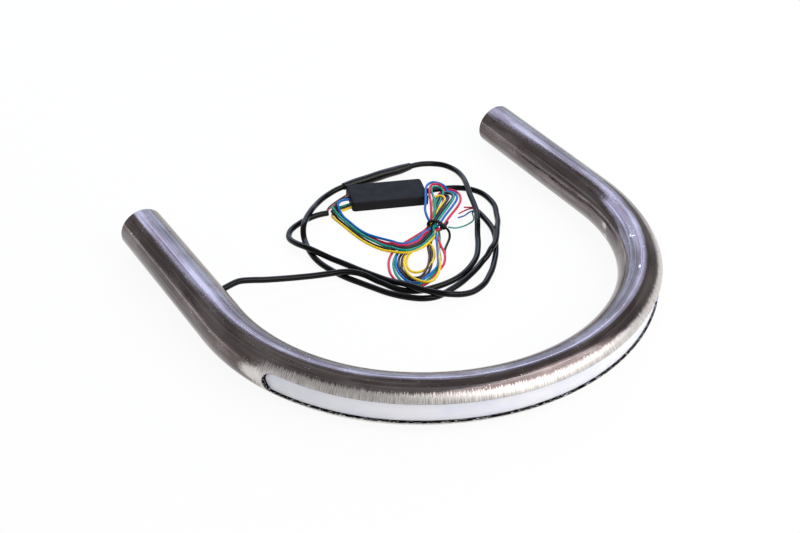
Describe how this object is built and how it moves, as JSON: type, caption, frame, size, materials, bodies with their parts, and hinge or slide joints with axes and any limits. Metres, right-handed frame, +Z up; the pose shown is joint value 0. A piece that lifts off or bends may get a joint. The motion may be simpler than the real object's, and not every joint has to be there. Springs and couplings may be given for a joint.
{
  "type": "motorcycle rear seat hoop light",
  "caption": "U-bent steel tube rear frame hoop for a motorcycle seat, with a light strip behind a slot milled in its bend, its lead, splice sleeve, controller and tied loose wires",
  "frame": {"origin": "middle of the hoop's plan outline, on the surface the hoop lies on", "axes": "+Z up out of the hoop's plane, the lit bend faces -Y, the two open arm ends face +Y, +X along the hoop's width"},
  "size_m": [0.237, 0.1957, 0.022],
  "materials": {
    "tube_steel": "raw tube steel, satin, brushed at the bend",
    "diffuser_silicone": "milky translucent silicone, satin",
    "backing_aluminium": "satin",
    "circuit_film": "satin white film",
    "led_red": "clear gloss over a red emitter",
    "led_amber": "clear gloss over an amber emitter",
    "chip_black": "satin",
    "solder": "bright tinned",
    "core_red": "satin insulation",
    "sheath_black": "satin sheath",
    "shrink_black": "satin shrunk tubing",
    "case_charcoal": "fine matt moulding",
    "board_green": "satin solder mask",
    "wire_yellow": "satin insulation",
    "wire_black": "satin insulation",
    "wire_green": "satin insulation",
    "wire_brown": "satin insulation",
    "wire_red": "satin insulation",
    "wire_blue": "satin insulation",
    "tie_black": "dull plastic over wire"
  },
  "bodies": {
    "root": {"hoop_tube": "tube_steel", "light_diffuser": "diffuser_silicone", "strip_backing": "backing_aluminium", "led_circuit": "circuit_film", "brake_leds": "led_red", "indicator_leds": "led_amber", "strip_resistors": "chip_black", "solder_pads": "solder", "strip_cores": "core_red", "inner_lead": "sheath_black", "strip_lead": "sheath_black", "splice_sleeve": "shrink_black", "controller_lead": "sheath_black", "controller_case": "case_charcoal", "controller_base": "case_charcoal", "controller_board": "board_green", "controller_chips": "chip_black", "controller_resistors": "chip_black", "supply_lead": "sheath_black", "supply_cores": "core_red", "wire_yellow": "wire_yellow", "wire_black": "wire_black", "wire_green": "wire_green", "wire_brown": "wire_brown", "wire_red": "wire_red", "wire_blue": "wire_blue", "wire_hank": "wire_blue", "twist_tie": "tie_black"}
  },
  "joints": []
}
